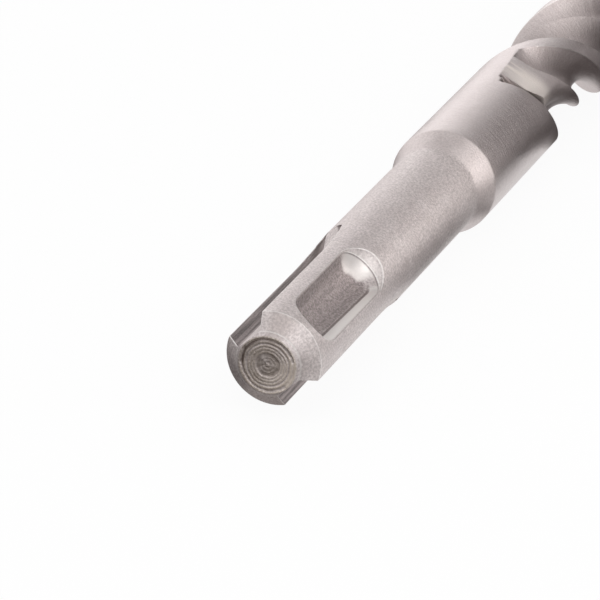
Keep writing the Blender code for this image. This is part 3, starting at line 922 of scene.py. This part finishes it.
class Nodes:
    """A material's node tree with short calls for the nodes used here."""

    def __init__(self, name):
        self.material = bpy.data.materials.new(name)
        self.material.use_nodes = True
        self.tree = self.material.node_tree
        self.shader = self.tree.nodes["Principled BSDF"]
        self.surface = self.tree.nodes["Material Output"].inputs["Surface"]

    def add(self, kind, **settings):
        """A node with some of its settings."""
        node = self.tree.nodes.new(kind)
        for name, value in settings.items():
            setattr(node, name, value)
        return node

    def join(self, source, target):
        """A link, or a plain value."""
        if isinstance(source, bpy.types.NodeSocket):
            self.tree.links.new(source, target)
        else:
            target.default_value = source

    def math(self, operation, first, second):
        """One arithmetic step."""
        node = self.add("ShaderNodeMath", operation=operation)
        self.join(first, node.inputs[0])
        self.join(second, node.inputs[1])
        return node.outputs[0]

    def place(self):
        """Places on the piece, which are those of the row frame in metres."""
        return self.add("ShaderNodeTexCoord").outputs["Object"]

    def scaled(self, scale):
        """Places stretched by a scale per millimetre in each direction."""
        node = self.add("ShaderNodeMapping")
        self.join(self.place(), node.inputs["Vector"])
        node.inputs["Scale"].default_value = tuple(value / MM for value in scale)
        return node.outputs[0]

    def toward(self, angle):
        """Cosine of the turn round the bit's axis between each place and a direction."""
        centred = self.add("ShaderNodeMapping")
        self.join(self.place(), centred.inputs["Vector"])
        centred.inputs["Scale"].default_value = (0.0, 1.0 / MM, 1.0 / MM)
        centred.inputs["Location"].default_value = (0.0, 0.0, -BODY_RADIUS)
        outward = self.add("ShaderNodeVectorMath", operation="NORMALIZE")
        self.join(centred.outputs[0], outward.inputs[0])
        cosine = self.add("ShaderNodeVectorMath", operation="DOT_PRODUCT")
        self.join(outward.outputs[0], cosine.inputs[0])
        turned = math.radians(angle)
        cosine.inputs[1].default_value = (0.0, math.cos(turned), math.sin(turned))
        return cosine.outputs["Value"]

    def noise(self, vector, detail=3.0, roughness=0.55):
        """Noise at one cell per unit of the vector."""
        node = self.add("ShaderNodeTexNoise")
        self.join(vector, node.inputs["Vector"])
        node.inputs["Scale"].default_value = 1.0
        node.inputs["Detail"].default_value = detail
        node.inputs["Roughness"].default_value = roughness
        return node.outputs["Fac"]

    def span(self, value, low, high, to_low, to_high):
        """A value carried from one span to another."""
        node = self.add("ShaderNodeMapRange")
        self.join(value, node.inputs["Value"])
        names = ("From Min", "From Max", "To Min", "To Max")
        for name, number in zip(names, (low, high, to_low, to_high)):
            node.inputs[name].default_value = number
        return node.outputs["Result"]

    def along(self, first, last, to_low, to_high):
        """A value that changes between two places along the bit."""
        split = self.add("ShaderNodeSeparateXYZ")
        self.join(self.place(), split.inputs[0])
        low, high = ((x - LENGTH / 2) * MM for x in (first, last))
        return self.span(split.outputs["X"], low, high, to_low, to_high)

    def blend(self, share, first, second):
        """A mix of two colours, where the node keeps the share between nought and one."""
        node = self.add("ShaderNodeMix", data_type="RGBA")
        self.join(share, node.inputs["Factor"])
        for index, colour in ((6, first), (7, second)):
            plain = not isinstance(colour, bpy.types.NodeSocket)
            self.join((*colour, 1.0) if plain else colour, node.inputs[index])
        return node.outputs[2]

    def coat(self, tone, mark, share, colour):
        """The tone with a colour over it, by a mark times a share."""
        return self.blend(self.math("MULTIPLY", mark, share), tone, colour)

    def glow(self, level):
        """An even glow of a brightness of its own."""
        node = self.add("ShaderNodeEmission")
        node.inputs["Color"].default_value = (*level, 1.0)
        return node.outputs[0]

    def mark(self, name):
        """A mark stored per point."""
        return self.add("ShaderNodeAttribute", attribute_name=name).outputs["Fac"]

    def bump(self, height, distance, strength=1.0, normal=None):
        """A bump of so many millimetres, over another one if a normal is given."""
        node = self.add("ShaderNodeBump")
        self.join(height, node.inputs["Height"])
        node.inputs["Distance"].default_value = distance * MM
        self.join(strength, node.inputs["Strength"])
        if normal is not None:
            self.join(normal, node.inputs["Normal"])
        return node.outputs[0]


def blasted_steel():
    """Warm grey steel: rough blasted shank, smoother neck and flutes, dark floors, ringed face,
    with painted shade in hollows and painted light, sheen and glints in places.
    """
    n = Nodes("blasted_steel")
    milled, polished, deep = (n.mark(name) for name in ("milled", "polished", "deep"))
    neck = n.along(*NECK_SPAN, 0.0, 1.0)
    cone = n.along(*CONE_SPAN, 1.0, 0.0)
    shoulder = n.along(*SHOULDER_SPAN, 1.0, 0.6)
    in_rings = n.math("MULTIPLY", deep, n.along(*RINGS_SPAN, 1.0, 0.0))
    face = n.math("MAXIMUM", n.along(*FACE_SPAN, 1.0, 0.0), in_rings)
    grain = n.noise(n.scaled((4.2, 4.2, 4.2)), detail=4.0, roughness=0.65)
    speck = n.span(grain, 0.38, 0.62, 0.0, 1.0)
    cloud = n.noise(n.scaled((0.35, 0.6, 0.6)))
    turning = n.noise(n.scaled((9.0, 0.2, 0.2)))
    streaks = n.noise(n.scaled((2.4, 0.5, 0.5)), detail=4.0, roughness=0.65)
    cutter = n.noise(n.scaled((0.1, 2.6, 2.6)), roughness=0.6)

    # Blasted shank, cone with a painted dark reflection band, and streaked neck
    tone = n.blend(n.span(cloud, 0.3, 0.7, 0.0, 1.0), *BLASTED)
    smooth = n.math("ADD", n.along(*SHOULDER_SPAN, 0.0, 0.35), n.math("MULTIPLY", neck, 0.45))
    tone = n.blend(smooth, tone, NECK_TONE)
    cone_shade_band = n.span(n.toward(CONE_SHADE_BAND_ANGLE), 0.93, 0.99, 0.0, 0.45)
    tone = n.coat(tone, cone, cone_shade_band, CONE_SHADE_BAND)
    tone = n.coat(tone, neck, n.span(streaks, 0.47, 0.72, 0.0, 0.2), NECK_STREAK)
    pitted = n.math("MULTIPLY", n.span(neck, 0.0, 1.0, 0.6, 0.45), shoulder)
    tone = n.coat(tone, pitted, speck, BLASTED_PITS)

    # Milled floors and flanks, dark partly from their finish and partly from painted shade; painted
    # light on the flutes' facet; the turned face with painted sheen; painted shade in hollows;
    # smoother parts with painted sheen; edges partly worn, partly painted glints
    rough_floor_and_shade = n.blend(speck, *ROUGH_FLOOR_AND_SHADE)
    lined_flank_and_shade = n.blend(n.span(cutter, 0.38, 0.62, 0.0, 1.0), *LINED_FLANK_AND_SHADE)
    floor = n.blend(n.span(milled, 0.8, 1.0, 0.25, 0.85), rough_floor_and_shade, lined_flank_and_shade)
    tone = n.coat(tone, milled, 0.85, floor)
    # Painted light on the facet
    tone = n.coat(tone, n.mark("facet_light"), 0.95, FACET_LIGHT_TONE)
    # Painted sheen on one side of the turned face, made uneven by noise
    sheen_side = n.math("ADD", n.toward(FACE_SHEEN_ANGLE), n.span(cloud, 0.3, 0.7, -0.15, 0.15))
    ringed = n.blend(n.span(sheen_side, 0.3, 0.95, 0.0, 0.8), n.blend(speck, *RINGED_FACE), FACE_SHEEN)
    tone = n.coat(tone, face, 0.85, ringed)
    # Painted shade in hollows
    tone = n.coat(tone, deep, 0.6, HOLLOW_SHADE_TONE)
    # Smoother finish with painted sheen
    tone = n.coat(tone, polished, 0.9, POLISH_AND_SHEEN_TONE)
    # Bright edges: partly wear, partly painted glints
    tone = n.coat(tone, n.mark("edge"), 0.85, EDGE_WEAR_AND_GLINT_TONE)
    n.join(tone, n.shader.inputs["Base Color"])
    n.shader.inputs["Metallic"].default_value = 1.0

    # Roughness, then the grain and the turning lines
    uneven_part = n.span(cloud, 0.3, 0.7, -0.03, 0.03)
    rough = n.math("ADD", uneven_part, n.span(neck, 0.0, 1.0, 0.55, 0.33))
    rough = n.math("ADD", rough, n.math("MULTIPLY", n.mark("fluted"), 0.17))
    rough = n.math("SUBTRACT", rough, n.math("MULTIPLY", polished, 0.08))
    n.join(rough, n.shader.inputs["Roughness"])
    calm = n.span(polished, 0.0, 1.0, 1.0, 0.4)
    calm = n.math("MULTIPLY", n.math("MAXIMUM", shoulder, neck), calm)
    lined = n.math("MAXIMUM", n.span(cone, 0.0, 1.0, 0.05, 0.35), neck)
    pits = n.bump(grain, 0.06, strength=calm)
    lines = n.bump(n.blend(neck, turning, streaks), 0.06, strength=lined, normal=pits)
    n.join(lines, n.shader.inputs["Normal"])
    return n.material


def ground_plate():
    """Dark hard metal with grinding marks."""
    n = Nodes("ground_hard_metal")
    marks = n.noise(n.scaled((1.2, 9.0, 9.0)))
    cloud = n.noise(n.scaled((0.5, 0.5, 0.5)), detail=2.0)
    tone = n.blend(n.span(cloud, 0.3, 0.7, 0.0, 1.0), *PLATE_TONES)
    n.join(tone, n.shader.inputs["Base Color"])
    n.shader.inputs["Metallic"].default_value = 1.0
    n.join(n.span(marks, 0.3, 0.7, 0.3, 0.46), n.shader.inputs["Roughness"])
    n.join(n.bump(marks, 0.006), n.shader.inputs["Normal"])
    return n.material


# Camera, as the photo is taken


def look():
    """Camera low behind the shank, with a long lens, worked out from the photo."""
    data = bpy.data.cameras.new("camera")
    data.lens = 282.07
    data.sensor_width = 36.0
    data.clip_start = 0.01
    data.clip_end = 20.0
    made = link("camera", data)
    made.location = (-0.480320, -0.148544, 0.183010)
    made.rotation_euler = (math.radians(68.2691), 0.0, math.radians(-70.0775))
    bpy.context.scene.camera = made


def sheet_of(name, corners, finish):
    """A flat four-cornered sheet."""
    data = bpy.data.meshes.new(name)
    data.from_pydata(corners, [], [(0, 1, 2, 3)])
    data.materials.append(finish)
    made = link(name, data)
    return made


def soft_lamp(name, place, target, size, power):
    """A square soft lamp aimed at a point."""
    data = bpy.data.lights.new(name, "AREA")
    data.shape = "SQUARE"
    data.size = size
    data.energy = power
    made = link(name, data)
    made.location = place
    made.rotation_euler = (Vector(target) - Vector(place)).to_track_quat("-Z", "Y").to_euler()


def card(name, corners, level):
    """A sheet that only reflections see, with a brightness of its own."""
    n = Nodes(name)
    n.tree.nodes.remove(n.shader)
    n.join(n.glow(level), n.surface)
    made = sheet_of(name, corners, n.material)
    made.visible_camera = False
    made.visible_diffuse = False
    made.visible_shadow = False
    made.visible_transmission = False


def wall(name, first, last, low, high, far, level):
    """An upright card between two bearings and two heights, at a distance from the bit's middle."""
    corners = []
    for bearing, height in ((first, low), (last, low), (last, high), (first, high)):
        turned = math.radians(bearing)
        corners.append((far * math.cos(turned), far * math.sin(turned), height))
    card(name, corners, level)


def mat(name, along, across, level):
    """A card lying just over the table between two places along the bit and two across it."""
    places = ((0, 0), (1, 0), (1, 1), (0, 1))
    card(name, [(along[i], across[j], MAT_HEIGHT) for i, j in places], level)


def table_finish():
    """White table whose shadow stays faint to the eye, as on a lit table.

    Where a camera ray or a reflection meets it, most of it is an even glow.
    """
    n = Nodes("white_table")
    n.shader.inputs["Base Color"].default_value = (0.93, 0.93, 0.93, 1.0)
    n.shader.inputs["Roughness"].default_value = 0.9
    path = n.add("ShaderNodeLightPath")
    seen = path.outputs["Is Camera Ray"]
    for ray in ("Is Glossy Ray", "Is Transmission Ray"):
        seen = n.math("MAXIMUM", seen, path.outputs[ray])
    mix = n.add("ShaderNodeMixShader")
    n.join(n.math("MULTIPLY", seen, 0.93), mix.inputs[0])
    n.join(n.shader.outputs[0], mix.inputs[1])
    n.join(n.glow((0.995, 0.995, 0.995)), mix.inputs[2])
    n.join(mix.outputs[0], n.surface)
    return n.material


def light_and_table():
    """A white table in an even white surround, a soft lamp overhead, and cards for reflections."""
    corners = [(-4.0, -4.0, 0.0), (4.0, -4.0, 0.0), (4.0, 4.0, 0.0), (-4.0, 4.0, 0.0)]
    sheet_of("table", corners, table_finish())
    for values in WALLS:
        wall(*values)
    places = ((-0.035, 0.006), (0.0, 0.006), (0.0, 0.042), (-0.035, 0.042))
    card("beside", [(along, -0.04, height) for along, height in places], (2.6, 2.55, 2.5))
    for values in MATS:
        mat(*values)
    world = bpy.data.worlds.new("surround")
    bpy.context.scene.world = world
    world.use_nodes = True
    back = world.node_tree.nodes["Background"]
    back.inputs["Color"].default_value = (1.0, 1.0, 1.0, 1.0)
    back.inputs["Strength"].default_value = 0.95
    soft_lamp("behind", (-0.42, -0.40, 0.40), (-0.04, 0.0, 0.0), 0.40, 0.85)


look()
body = steel_body()
cut_seat(body)
body.data.materials.append(blasted_steel())
plate = hard_plate()
plate.data.materials.append(ground_plate())
pieces = ((body, "steel_body", "blasted_steel"), (plate, "carbide_plate", "hard_metal"))
for piece, node, finish in pieces:
    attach(piece, "root")
    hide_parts(node)
light_and_table()
bpy.context.scene.view_settings.view_transform = "Standard"
